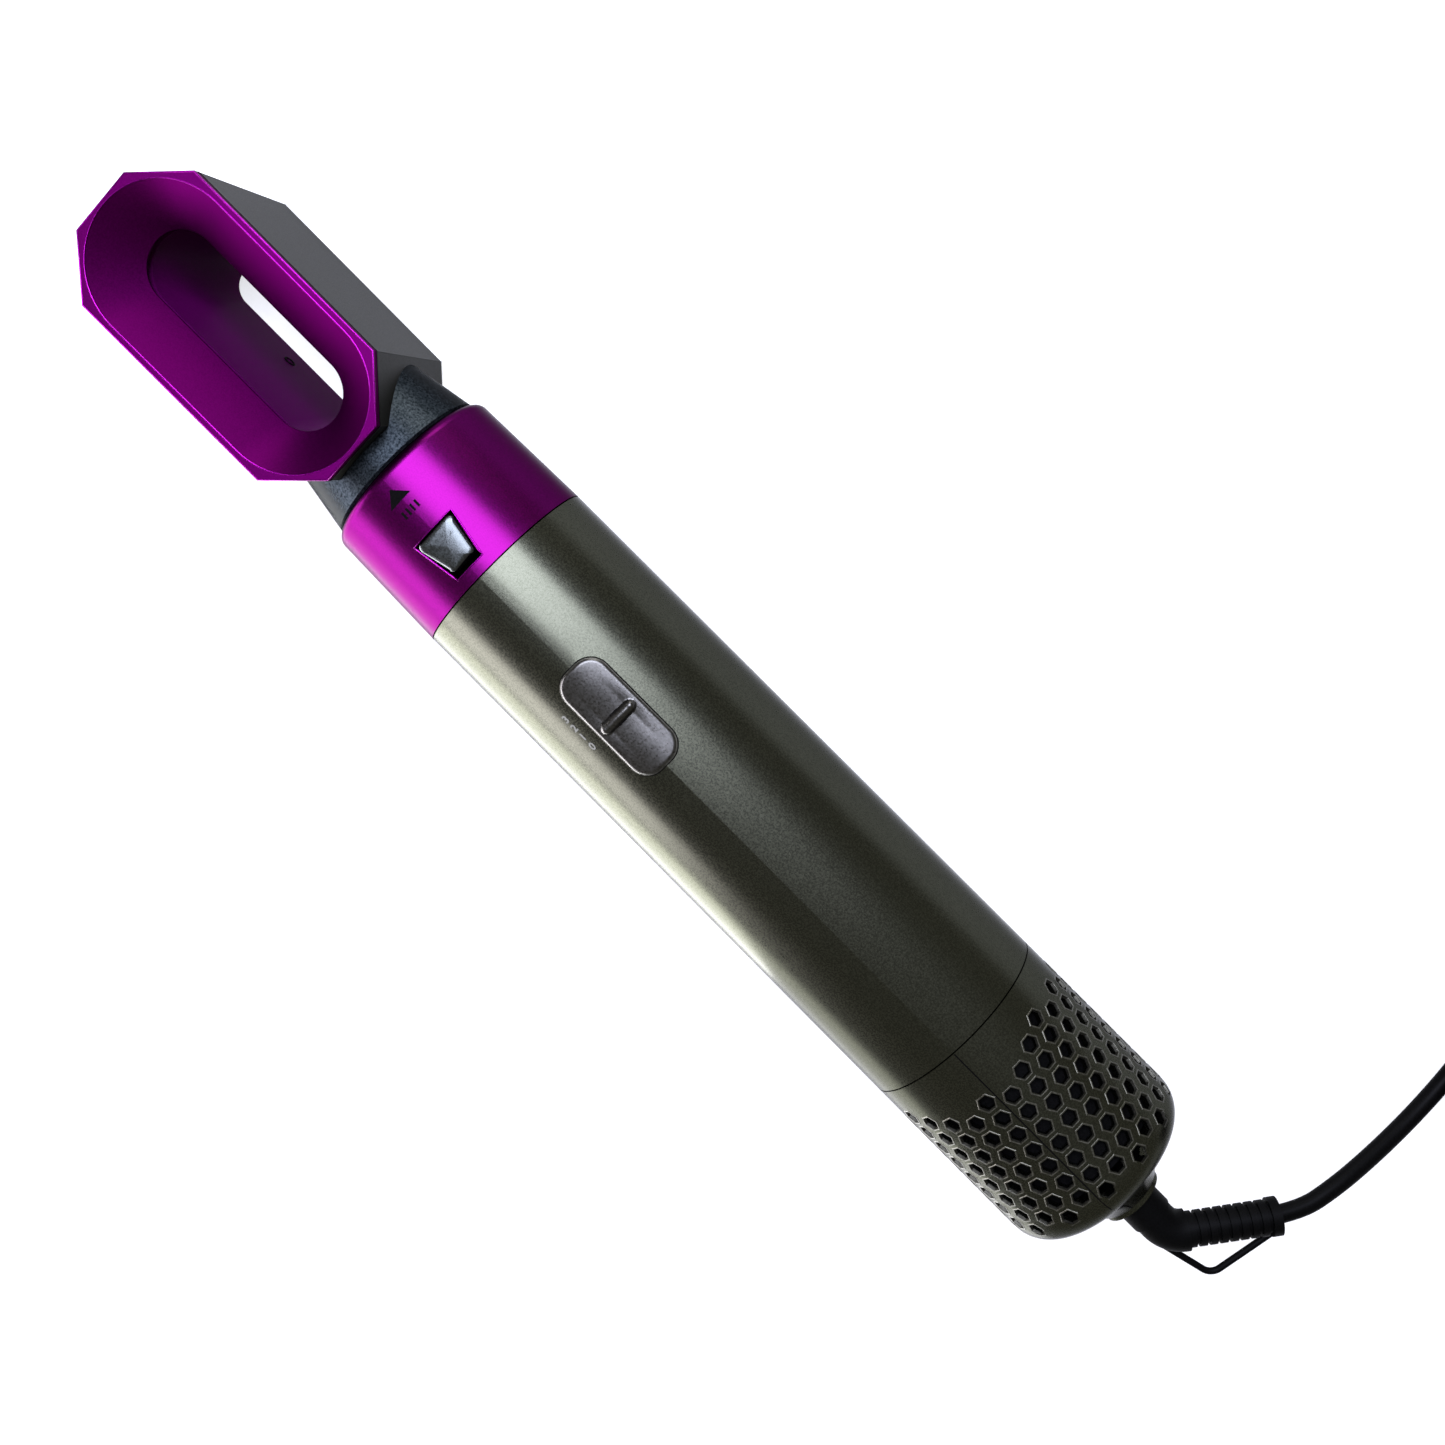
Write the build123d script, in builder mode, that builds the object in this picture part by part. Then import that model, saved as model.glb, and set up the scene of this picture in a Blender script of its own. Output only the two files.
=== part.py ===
from build123d import *
import math
import os

# Hot air styler with an eight-sided slotted drying head.
# Frame: +X runs along the barrel towards the head, +Z is up, the floor is Z = 0.
# The tool lies on its back: the barrel's underside and the head's flat back meet the floor.
# The origin is under the middle of the tool, cord left out. Millimetres.

# Driving dimensions: stations along X are counted from the collar's rear seam
AXIS_Z = 22.0
REACH_HEAD = 100.4
REACH_TAIL = 192.6
SEAM_X = (REACH_TAIL - REACH_HEAD) / 2
COLLAR_LENGTH = 28.0
BARREL_LENGTH = 131.5
SHOULDER = 172.5
TAIL = 186.6
SEAM_GAP = 0.3

# Radii of the round casing
R_COLLAR = 20.2
R_SEAM = 21.0
R_INLET = 21.8
R_SHOULDER = 22.0
R_TAIL = 7.0
WALL = 1.8

# Head: an elongated octagon, long sides along X
HEAD_LENGTH = 66.8
HEAD_WIDTH = 34.4
HEAD_CUT = 9.9
HEAD_TOP = 45.0
HEAD_WALL = 2.0
RIM = 1.8
SLOT_HALF = 16.8
THROAT_R = 7.5
FLARE = 8.4
FUNNEL_LIP = 0.8
REBATE = 3.0
SLEEVE_TOP = 33.0
SLEEVE_TOP_R = 8.1
SLEEVE_BACK_R = 4.6
SLEEVE_WALL = 1.2

# Head's plug-in neck and the socket in the collar
NECK_R = 18.5
NECK_END_R = 15.8
SPIGOT_R = 14.2
PASSAGE_R = 12.6
BORE_R = 14.6
RECEIVER_R = 16.0
COLLAR_BORE_R = 19.4
COLLAR_LIP = 2.0

# Release button and its latch ring
BUTTON_TRAVEL = 1.0
BUTTON_START = 4.2
BUTTON_LENGTH = 8.5
BUTTON_WIDE = 9.7
BUTTON_NARROW = 6.2
BUTTON_TOP = AXIS_Z + 21.4
RING_TOP = AXIS_Z + 18.6

# Speed slider
SLIDER_TRAVEL = 7.4
SLIDER_MID = 38.1
SLIDER_LENGTH = 26.6
SLIDER_WIDTH = 11.6
SLIDER_UNDER_R = 21.6
SLIDER_TOP_R = 22.4

# Inlet holes: hexagons in rows along X, alternate rows half a pitch on
HEX_ROWS = 28
HEX_PITCH = 4.45
HEX_ACROSS = 3.1
HEX_FIRST = 143.6
HEX_LAST = 172.6

# Air path and motor
DUCT_R = 15.0
DUCT_END = 75.4
MOTOR_R = 12.0
SHROUD_R = 18.2
SHAFT_R = 1.5
RUNNING = 0.05
HEATER_TURNS = 12
TURN_PITCH = 4.0
STEM_R = 4.75

# Cord
CORD_R = 2.0
COIL_X = -200.0
COIL_Y = -93.0
COIL_IN_R = 14.0
COIL_OUT_R = 34.0
COIL_HEIGHT = 12.0

HEAD_X = SEAM_X + REACH_HEAD - HEAD_LENGTH / 2
COLLAR_X = SEAM_X + COLLAR_LENGTH
INLET_X = SEAM_X - BARREL_LENGTH
STEM_END_X = SEAM_X - REACH_TAIL

AXLE = Axis((0, 0, AXIS_Z), (1, 0, 0))
PROFILE = Plane(origin=(SEAM_X, 0, AXIS_Z), x_dir=(1, 0, 0), z_dir=(0, -1, 0))
PIECES = {}


def station(reach):
    """Plane across the axle, this far ahead of the seam: local x is Y, local y is Z."""
    return Plane(origin=(SEAM_X + reach, 0, AXIS_Z), x_dir=(0, 1, 0), z_dir=(1, 0, 0))


def casing_radius(reach):
    """Outside radius of the barrel behind the seam, which widens evenly to the inlet."""
    return R_SEAM + (R_INLET - R_SEAM) * -reach / BARREL_LENGTH


def octagon(inset=0.0):
    """Corners of the head's outline in the plan, each side moved in by inset."""
    long = HEAD_LENGTH / 2 - inset
    wide = HEAD_WIDTH / 2 - inset
    cut = HEAD_CUT - inset * (2 - math.sqrt(2))
    corner = [(long, wide - cut), (long - cut, wide)]
    left = [(x, y) for x, y in corner] + [(-x, y) for x, y in reversed(corner)]
    return [(HEAD_X + x, y) for x, y in left + [(-x, -y) for x, y in left]]


# ---- Head -------------------------------------------------------------------------------

SCREW_SPOTS = [(HEAD_X + x, y) for x in (-14.0, 14.0) for y in (-12.4, 12.4)]

with BuildPart() as head_shell:
    with BuildSketch(Plane.XY):
        Polygon(*octagon(), align=None)
    extrude(amount=HEAD_TOP - RIM)
    fillet(head_shell.faces().sort_by(Axis.Z)[0].edges(), 1.5)
    with BuildSketch(Plane.XY.offset(HEAD_WALL)):
        Polygon(*octagon(HEAD_WALL), align=None)
    extrude(amount=HEAD_TOP, mode=Mode.SUBTRACT)
    # Rebate round the top for the funnel's edge
    with BuildSketch(Plane.XY.offset(HEAD_TOP - REBATE)):
        Polygon(*octagon(HEAD_WALL / 2), align=None)
    extrude(amount=REBATE, mode=Mode.SUBTRACT)
    # Way through the back for the sleeve, and through the tail end for the air
    with BuildSketch(Plane.XY):
        with Locations((HEAD_X, 0)):
            SlotCenterToCenter(2 * SLOT_HALF, 2 * (SLEEVE_BACK_R + SLEEVE_WALL + 0.4))
    extrude(amount=HEAD_WALL, mode=Mode.SUBTRACT)
    with BuildSketch(station(33.0)):
        Circle(PASSAGE_R)
    extrude(amount=9.0, mode=Mode.SUBTRACT)
    with BuildSketch(Plane.XY.offset(HEAD_WALL / 2)):
        with Locations(*SCREW_SPOTS):
            Circle(2.9)
    extrude(amount=30.0 - HEAD_WALL / 2)
    with BuildSketch(Plane.XY):
        with Locations(*SCREW_SPOTS):
            Circle(2.3)
    extrude(amount=22.0, mode=Mode.SUBTRACT)
    with BuildSketch(Plane.XY.offset(22.0)):
        with Locations(*SCREW_SPOTS):
            Circle(1.3)
    extrude(amount=8.0, mode=Mode.SUBTRACT)
PIECES["head_shell"] = head_shell

# The funnel and the sleeve are each one outline, drawn as (offset, height), carried round
# the slot: straight along its sides, then half a turn about each end
FUNNEL_MOUTH = THROAT_R + FLARE
FUNNEL_FOOT = HEAD_TOP - FLARE
SLEEVE_FOOT = SLEEVE_BACK_R + SLEEVE_WALL
SLEEVE_SLOPE = (SLEEVE_TOP_R - SLEEVE_BACK_R) / SLEEVE_TOP
SLOT_START = Plane(origin=(HEAD_X - SLOT_HALF, 0, 0), x_dir=(0, 1, 0), z_dir=(1, 0, 0))
SLOT_END = Plane(origin=(HEAD_X + SLOT_HALF, 0, 0), x_dir=(0, 1, 0), z_dir=(1, 0, 0))
SLOT_TURN = Axis((HEAD_X + SLOT_HALF, 0, 0), (0, 0, 1))

with BuildSketch() as funnel_outline:
    with BuildLine():
        Polyline(
            (FUNNEL_MOUTH, HEAD_TOP),
            (THROAT_R, FUNNEL_FOOT),
            (THROAT_R + FUNNEL_LIP, FUNNEL_FOOT - FUNNEL_LIP),
            (FUNNEL_MOUTH - 1.5, HEAD_TOP - REBATE + 0.05),
            (FUNNEL_MOUTH - 0.4, HEAD_TOP - RIM),
            (FUNNEL_MOUTH, HEAD_TOP - RIM),
            close=True,
        )
    make_face()

with BuildSketch() as sleeve_outline:
    with BuildLine():
        Polyline(
            (SLEEVE_BACK_R, 0),
            (SLEEVE_FOOT, 0),
            (SLEEVE_FOOT + SLEEVE_SLOPE * HEAD_WALL, HEAD_WALL),
            (SLEEVE_FOOT + 3.0, HEAD_WALL),
            (SLEEVE_FOOT + 3.0, HEAD_WALL + 1.2),
            (SLEEVE_FOOT + SLEEVE_SLOPE * (HEAD_WALL + 1.2), HEAD_WALL + 1.2),
            (SLEEVE_TOP_R + SLEEVE_WALL, SLEEVE_TOP),
            (SLEEVE_TOP_R, SLEEVE_TOP),
            close=True,
        )
    make_face()

BANDS = []
for outline in (funnel_outline, sleeve_outline):
    with BuildPart() as band:
        with BuildSketch(SLOT_START):
            add(outline.sketch_local)
        extrude(amount=2 * SLOT_HALF)
        with BuildSketch(SLOT_END):
            add(outline.sketch_local)
        revolve(axis=SLOT_TURN, revolution_arc=-180)
        mirror(about=Plane.YZ.offset(HEAD_X))
        mirror(about=Plane.XZ)
    BANDS.append(band)

with BuildPart() as head_bezel:
    add(BANDS[0].part)
    with BuildSketch(Plane.XY.offset(HEAD_TOP - RIM)):
        Polygon(*octagon(), align=None)
        with Locations((HEAD_X, 0)):
            SlotCenterToCenter(2 * SLOT_HALF, 2 * FUNNEL_MOUTH - 0.2, mode=Mode.SUBTRACT)
    extrude(amount=RIM)
    with BuildSketch(Plane.XY.offset(30.0)):
        with Locations(*SCREW_SPOTS):
            Circle(2.4)
    extrude(amount=9.0)
    with BuildSketch(Plane.XY.offset(30.0)):
        with Locations(*SCREW_SPOTS):
            Circle(1.2)
    extrude(amount=7.0, mode=Mode.SUBTRACT)
PIECES["head_bezel"] = head_bezel

PIECES["head_sleeve"] = BANDS[1]

with BuildPart() as head_screws:
    with BuildSketch(Plane.XY.offset(20.2)):
        with Locations(*SCREW_SPOTS):
            Circle(2.1)
    extrude(amount=1.8)
    with BuildSketch(Plane.XY.offset(22.0)):
        with Locations(*SCREW_SPOTS):
            Circle(1.15)
    extrude(amount=14.0)
PIECES["head_screws"] = head_screws

SHOULDER_REACH = COLLAR_LENGTH + SEAM_GAP
with BuildPart() as head_neck:
    with BuildSketch(PROFILE):
        with BuildLine():
            Polyline(
                (1.0, PASSAGE_R),
                (1.0, SPIGOT_R),
                (SHOULDER_REACH, SPIGOT_R),
                (SHOULDER_REACH, NECK_R - 0.5),
                (SHOULDER_REACH + 0.5, NECK_R),
                (44.0, NECK_END_R),
                (44.0, PASSAGE_R),
                close=True,
            )
        make_face()
    revolve(axis=AXLE)
    with BuildSketch(Plane.XY):
        Polygon(*octagon(), align=None)
    extrude(amount=HEAD_TOP, mode=Mode.SUBTRACT)
    with BuildSketch(PROFILE):
        with Locations((21.0, SPIGOT_R - 0.4)):
            Rectangle(2.0, 0.8)
    revolve(axis=AXLE, mode=Mode.SUBTRACT)
    # Slot for the latch tooth, open at the spigot's end
    with BuildSketch(Plane.XY.offset(AXIS_Z - SPIGOT_R - 1)):
        with Locations((SEAM_X + 5.0, 0)):
            Rectangle(10.0, 7.0)
    extrude(amount=4.0, mode=Mode.SUBTRACT)
PIECES["head_neck"] = head_neck

with BuildPart() as neck_seal:
    with BuildSketch(PROFILE):
        with Locations((21.0, SPIGOT_R - 0.3)):
            Rectangle(1.8, 0.9)
    revolve(axis=AXLE)
PIECES["neck_seal"] = neck_seal

# ---- Collar, socket and release latch ------------------------------------------------------


def button_plan(grow=0.0):
    """Wedge outline of the button, wide side towards the head, each side moved out by grow."""
    tail = SEAM_X + BUTTON_START - grow
    head = SEAM_X + BUTTON_START + BUTTON_LENGTH + grow
    narrow = BUTTON_NARROW / 2 + grow
    wide = BUTTON_WIDE / 2 + grow
    return [(tail, -narrow), (head, -wide), (head, wide), (tail, narrow)]


with BuildPart() as collar:
    with BuildSketch(PROFILE):
        with BuildLine():
            Polyline(
                (SEAM_GAP / 2, COLLAR_BORE_R),
                (SEAM_GAP / 2, R_SEAM),
                (COLLAR_LENGTH, R_COLLAR),
                (COLLAR_LENGTH, NECK_R - 1.3),
                (COLLAR_LENGTH - COLLAR_LIP, NECK_R - 1.3),
                (COLLAR_LENGTH - COLLAR_LIP, COLLAR_BORE_R),
                close=True,
            )
        make_face()
    revolve(axis=AXLE)
    front = collar.edges().filter_by(GeomType.CIRCLE).group_by(Axis.X)[-1]
    fillet(front.sort_by(SortBy.RADIUS)[-1], COLLAR_LIP - 0.05)
    with BuildSketch(Plane.XY.offset(AXIS_Z + 10)):
        Polygon(*button_plan(0.4), align=None)
        with Locations((SEAM_X + BUTTON_START - 0.7, 0)):
            Rectangle(1.4, BUTTON_NARROW + 0.9)
    extrude(amount=15.0, mode=Mode.SUBTRACT)
PIECES["collar"] = collar

with BuildPart() as receiver:
    with BuildSketch(PROFILE):
        with BuildLine():
            Polyline(
                (-2.0, BORE_R),
                (-2.0, COLLAR_BORE_R - 0.4),
                (2.0, COLLAR_BORE_R - 0.4),
                (2.0, RECEIVER_R),
                (COLLAR_LENGTH - COLLAR_LIP - 2.0, RECEIVER_R),
                (COLLAR_LENGTH - COLLAR_LIP - 2.0, COLLAR_BORE_R - 0.1),
                (COLLAR_LENGTH - COLLAR_LIP, COLLAR_BORE_R - 0.1),
                (COLLAR_LENGTH - COLLAR_LIP, BORE_R),
                close=True,
            )
        make_face()
    revolve(axis=AXLE)
    with BuildSketch(Plane.XY.offset(AXIS_Z - RECEIVER_R - 1)):
        with Locations((SEAM_X + 7.5, 0)):
            Rectangle(4.2, 7.0)
    extrude(amount=4.0, mode=Mode.SUBTRACT)
PIECES["receiver"] = receiver

with BuildPart() as release_button:
    with BuildSketch(Plane.XY.offset(RING_TOP)):
        Polygon(*button_plan(), align=None)
    extrude(amount=BUTTON_TOP - RING_TOP)
    fillet(release_button.edges().filter_by(Axis.Z), 0.9)
    chamfer(release_button.faces().sort_by(Axis.Z)[-1].edges(), 0.5)
PIECES["release_button"] = release_button

RING_IN_R = 16.95
RING_LIFT = 0.62
with BuildPart() as latch_ring:
    with BuildSketch(station(4.5)):
        with Locations((0, RING_LIFT)):
            Circle(RING_IN_R + 1.2)
            Circle(RING_IN_R, mode=Mode.SUBTRACT)
        with Locations((0, RING_TOP - AXIS_Z + 1)):
            Rectangle(20, 2, mode=Mode.SUBTRACT)
    extrude(amount=8.0)
    with BuildSketch(Plane.XY.offset(AXIS_Z - RING_IN_R)):
        with Locations((SEAM_X + 7.5, 0)):
            Rectangle(3.0, 6.0)
    extrude(amount=RING_IN_R - SPIGOT_R + 0.6)
PIECES["latch_ring"] = latch_ring

with BuildPart() as latch_spring:
    with BuildSketch(station(6.0)):
        with BuildLine():
            ThreePointArc((-3.2, -18.95), (0, -17.6), (3.2, -18.95))
            Line((3.2, -18.95), (2.9, -19.1))
            ThreePointArc((2.9, -19.1), (0, -17.9), (-2.9, -19.1))
            Line((-2.9, -19.1), (-3.2, -18.95))
        make_face()
    extrude(amount=5.0)
PIECES["latch_spring"] = latch_spring

# ---- Barrel and speed slider -----------------------------------------------------------------

SLOT_REACH = -SLIDER_MID + SLIDER_TRAVEL / 2
with BuildPart() as barrel:
    with BuildSketch(PROFILE):
        with BuildLine():
            Polyline(
                (-SEAM_GAP / 2, R_SEAM - WALL),
                (-SEAM_GAP / 2, R_SEAM),
                (-BARREL_LENGTH + SEAM_GAP / 2, R_INLET),
                (-BARREL_LENGTH + SEAM_GAP / 2, R_INLET - WALL),
                close=True,
            )
        make_face()
    revolve(axis=AXLE)
    with BuildSketch(Plane.XY.offset(AXIS_Z + 10)):
        with Locations((SEAM_X + SLOT_REACH, 0)):
            SlotOverall(SLIDER_TRAVEL + 4.8, 3.4)
    extrude(amount=15.0, mode=Mode.SUBTRACT)
PIECES["barrel"] = barrel

with BuildPart() as slider_plate:
    with BuildSketch(Plane.XY.offset(AXIS_Z + 18)):
        with Locations((SEAM_X - SLIDER_MID, 0)):
            RectangleRounded(SLIDER_LENGTH, SLIDER_WIDTH, 4.4)
    extrude(amount=6.0)
    with BuildSketch(station(-SLIDER_MID - SLIDER_LENGTH)):
        Circle(SLIDER_TOP_R)
        Circle(SLIDER_UNDER_R, mode=Mode.SUBTRACT)
    extrude(amount=2 * SLIDER_LENGTH, mode=Mode.INTERSECT)
    with BuildSketch(Plane.XY.offset(AXIS_Z + SLIDER_UNDER_R + 0.1)):
        with Locations((SEAM_X - SLIDER_MID, 0)):
            RectangleRounded(1.7, 8.2, 0.6)
    extrude(amount=1.1)
PIECES["slider_plate"] = slider_plate

BOARD_Z = AXIS_Z + 15.8
with BuildPart() as slider_stem:
    with BuildSketch(Plane.XY.offset(BOARD_Z + 1.7)):
        with Locations((SEAM_X - SLIDER_MID, 0)):
            Rectangle(3.0, 2.0)
    extrude(amount=AXIS_Z + SLIDER_UNDER_R - 0.03 - BOARD_Z - 1.7)
PIECES["slider_stem"] = slider_stem

with BuildPart() as switch_body:
    with BuildSketch(Plane.XY.offset(BOARD_Z + 1.0)):
        with Locations((SEAM_X + SLOT_REACH, 0)):
            Rectangle(20.0, 7.4)
    extrude(amount=1.7)
    with BuildSketch(Plane.XY.offset(BOARD_Z + 1.6)):
        with Locations((SEAM_X + SLOT_REACH, 0)):
            Rectangle(SLIDER_TRAVEL + 4.0, 2.6)
    extrude(amount=2.0, mode=Mode.SUBTRACT)
PIECES["switch_body"] = switch_body

with BuildPart() as control_board:
    with BuildSketch(Plane.XY.offset(BOARD_Z)):
        with Locations((SEAM_X - 44.0, 0)):
            Rectangle(50.0, 13.0)
    extrude(amount=1.0)
PIECES["control_board"] = control_board

# ---- Air duct and heater -----------------------------------------------------------------------

with BuildPart() as air_duct:
    with BuildSketch(station(-DUCT_END)):
        Circle(DUCT_R + 0.7)
        Circle(DUCT_R, mode=Mode.SUBTRACT)
    extrude(amount=DUCT_END - 2.0)
PIECES["air_duct"] = air_duct

with BuildPart() as outlet_grille:
    with BuildSketch(station(-4.0)):
        Circle(DUCT_R - 0.05)
        with PolarLocations(5.2, 6):
            RegularPolygon(2.2, 6, mode=Mode.SUBTRACT)
        with PolarLocations(10.8, 12):
            RegularPolygon(2.3, 6, mode=Mode.SUBTRACT)
    extrude(amount=1.2)
PIECES["outlet_grille"] = outlet_grille

HEATER_MID = -37.0
HEATER_LENGTH = 60.0
with BuildPart() as heater_boards:
    with BuildSketch(station(HEATER_MID - HEATER_LENGTH / 2)):
        Rectangle(28.0, 0.8)
        Rectangle(0.8, 28.0)
    extrude(amount=HEATER_LENGTH)
PIECES["heater_boards"] = heater_boards

with BuildPart() as heater_coil:
    for turn in range(HEATER_TURNS):
        with BuildSketch(station(HEATER_MID - 24.0 + TURN_PITCH * turn)):
            Circle(14.75)
            Circle(14.05, mode=Mode.SUBTRACT)
        extrude(amount=1.2)
    # Links that carry the wire from one turn to the next, on alternate sides
    for turn in range(HEATER_TURNS - 1):
        side = 1 if turn % 2 else -1
        with BuildSketch(station(HEATER_MID - 23.4 + TURN_PITCH * turn)):
            with Locations((14.4 * side, 0)):
                Rectangle(0.5, 1.4)
        extrude(amount=TURN_PITCH)
PIECES["heater_coil"] = heater_coil

with BuildPart() as thermostat:
    with BuildSketch(Plane.XY.offset(AXIS_Z + 0.4)):
        with Locations((SEAM_X - 14.0, 6.5)):
            Circle(4.0)
    extrude(amount=3.6)
PIECES["thermostat"] = thermostat

with BuildPart() as thermal_fuse:
    with BuildSketch(Plane(origin=(SEAM_X - 20.0, -6.5, AXIS_Z - 2.0), x_dir=(0, 1, 0), z_dir=(1, 0, 0))):
        Circle(1.6)
    extrude(amount=11.0)
PIECES["thermal_fuse"] = thermal_fuse

# ---- Motor and impeller ------------------------------------------------------------------------

with BuildPart() as motor_mount:
    with BuildSketch(station(-129.5)):
        Circle(SHROUD_R + 1.2)
        Circle(SHROUD_R, mode=Mode.SUBTRACT)
    extrude(amount=129.5 - DUCT_END - 1.6)
    with BuildSketch(station(-DUCT_END - 1.6)):
        Circle(SHROUD_R + 0.9)
        Circle(DUCT_R, mode=Mode.SUBTRACT)
    extrude(amount=1.6)
    with BuildSketch(station(-111.0)):
        Circle(MOTOR_R + 1.2)
        with PolarLocations((MOTOR_R + SHROUD_R) / 2 + 0.3, 7):
            Rectangle(SHROUD_R - MOTOR_R + 0.6, 1.2)
        Circle(MOTOR_R + 0.02, mode=Mode.SUBTRACT)
    extrude(amount=27.0)
PIECES["motor_mount"] = motor_mount

with BuildPart() as motor_can:
    with BuildSketch(PROFILE):
        with BuildLine():
            Polyline(
                (-112.5, SHAFT_R + RUNNING),
                (-112.5, 3.4),
                (-110.5, 3.4),
                (-110.5, MOTOR_R),
                (-83.0, MOTOR_R),
                (-83.0, MOTOR_R - 0.9),
                (-109.6, MOTOR_R - 0.9),
                (-109.6, SHAFT_R + RUNNING),
                close=True,
            )
        make_face()
    revolve(axis=AXLE)
PIECES["motor_can"] = motor_can

with BuildPart() as motor_magnets:
    with BuildSketch(station(-107.5)):
        Circle(MOTOR_R - 0.95)
        Circle(MOTOR_R - 2.8, mode=Mode.SUBTRACT)
        Rectangle(3.0, 30.0, mode=Mode.SUBTRACT)
    extrude(amount=22.0)
PIECES["motor_magnets"] = motor_magnets

with BuildPart() as motor_endcap:
    with BuildSketch(station(-83.0)):
        Circle(MOTOR_R)
        Circle(SHAFT_R + RUNNING, mode=Mode.SUBTRACT)
    extrude(amount=1.6)
    with BuildSketch(station(-81.4)):
        Circle(3.4)
        Circle(SHAFT_R + RUNNING, mode=Mode.SUBTRACT)
    extrude(amount=1.8)
PIECES["motor_endcap"] = motor_endcap

with BuildPart() as motor_shaft:
    with BuildSketch(station(-126.5)):
        Circle(SHAFT_R)
    extrude(amount=46.2)
PIECES["motor_shaft"] = motor_shaft

with BuildPart() as armature:
    with BuildSketch(station(-106.5)):
        Circle(8.6)
        with PolarLocations(8.2, 5):
            Rectangle(2.6, 1.0, mode=Mode.SUBTRACT)
        Circle(SHAFT_R, mode=Mode.SUBTRACT)
    extrude(amount=20.0)
PIECES["armature"] = armature

with BuildPart() as impeller:
    with BuildSketch(station(-125.5)):
        Circle(5.4)
        Circle(SHAFT_R, mode=Mode.SUBTRACT)
    extrude(amount=11.0)
    with Locations(station(-120.0)):
        with PolarLocations(11.0, 9):
            Box(12.4, 1.2, 10.0, rotation=(35, 0, 0))
PIECES["impeller"] = impeller

# ---- Inlet halves with the hexagon holes -----------------------------------------------------------


def first_hole(angle):
    """Reach of the foremost hole allowed in a row: the pattern arches forward at the sides."""
    return max(HEX_FIRST - 0.6 - 8.0 * math.sin(angle) ** 2, 139.0)


def row_reaches(row):
    """Hole centres along one row, alternate rows half a pitch on."""
    angle = 2 * math.pi * (row + 0.5) / HEX_ROWS
    start = HEX_FIRST + (HEX_PITCH / 2 if row % 2 else 0) - 2 * HEX_PITCH
    reaches = [start + HEX_PITCH * step for step in range(12)]
    return [reach for reach in reaches if first_hole(angle) <= reach <= HEX_LAST]


for name, rows, keep in (
    ("inlet_left", range(HEX_ROWS // 2), Keep.BOTTOM),
    ("inlet_right", range(HEX_ROWS // 2, HEX_ROWS), Keep.TOP),
):
    with BuildPart() as half:
        with BuildSketch(PROFILE):
            with BuildLine():
                Line((-BARREL_LENGTH - SEAM_GAP / 2, R_INLET), (-SHOULDER, R_SHOULDER))
                ThreePointArc((-SHOULDER, R_SHOULDER), (-SHOULDER - 3.8, 20.9), (-179.0, 17.2))
                ThreePointArc((-179.0, 17.2), (-182.0, 11.4), (-185.4, R_TAIL + 0.4))
                Polyline(
                    (-185.4, R_TAIL + 0.4),
                    (-185.4, R_TAIL),
                    (-TAIL, R_TAIL),
                    (-TAIL, STEM_R + 0.1),
                    (-180.3, STEM_R + 0.1),
                    (-180.3, 10.2),
                    (-176.9, 16.6),
                    (-SHOULDER, R_SHOULDER - WALL),
                    (-BARREL_LENGTH - SEAM_GAP / 2, R_INLET - WALL),
                    (-BARREL_LENGTH - SEAM_GAP / 2, R_INLET),
                )
            make_face()
        revolve(axis=AXLE)
        for row in rows:
            angle = 2 * math.pi * (row + 0.5) / HEX_ROWS
            out = (0, math.sin(angle), math.cos(angle))
            around = Plane(origin=(SEAM_X, 0, AXIS_Z), x_dir=(1, 0, 0), z_dir=out)
            with BuildSketch(around.offset(R_INLET - 2 * WALL)):
                with Locations(*[(-reach, 0) for reach in row_reaches(row)]):
                    RegularPolygon(HEX_ACROSS / 2, 6, major_radius=False, rotation=30)
            extrude(amount=3 * WALL, mode=Mode.SUBTRACT)
        split(bisect_by=Plane.XZ, keep=keep)
    PIECES[name] = half

with BuildPart() as inlet_mesh:
    with BuildSketch(station(-171.0)):
        Circle(19.6)
        Circle(19.2, mode=Mode.SUBTRACT)
    extrude(amount=38.0)
PIECES["inlet_mesh"] = inlet_mesh

with BuildPart() as power_board:
    with BuildSketch(Plane.XY.offset(AXIS_Z - 7.0)):
        with Locations((SEAM_X - 152.0, 0)):
            Rectangle(32.0, 26.0)
    extrude(amount=1.4)
PIECES["power_board"] = power_board

PARTS_Z = AXIS_Z - 5.6
with BuildPart() as power_parts:
    with BuildSketch(Plane.XY.offset(PARTS_Z)):
        with Locations((SEAM_X - 145.0, -5.5), (SEAM_X - 145.0, 5.5)):
            Circle(4.0)
        with Locations((SEAM_X - 158.0, 0)):
            Rectangle(9.0, 15.0)
    extrude(amount=10.0)
PIECES["power_parts"] = power_parts

# ---- Cord swivel ---------------------------------------------------------------------------------

with BuildPart() as swivel_bush:
    with BuildSketch(station(-177.2)):
        Circle(15.6)
        Circle(STEM_R + RUNNING, mode=Mode.SUBTRACT)
    extrude(amount=1.6)
PIECES["swivel_bush"] = swivel_bush

with BuildPart() as swivel_stem:
    with BuildSketch(PROFILE):
        with BuildLine():
            Polyline(
                (-REACH_TAIL, 0),
                (-REACH_TAIL, STEM_R),
                (-180.0, STEM_R),
                (-180.0, 7.0),
                (-178.0, 7.0),
                (-178.0, STEM_R),
                (-170.0, STEM_R),
                (-170.0, 0),
                close=True,
            )
        make_face()
    revolve(axis=AXLE)
PIECES["swivel_stem"] = swivel_stem

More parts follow.
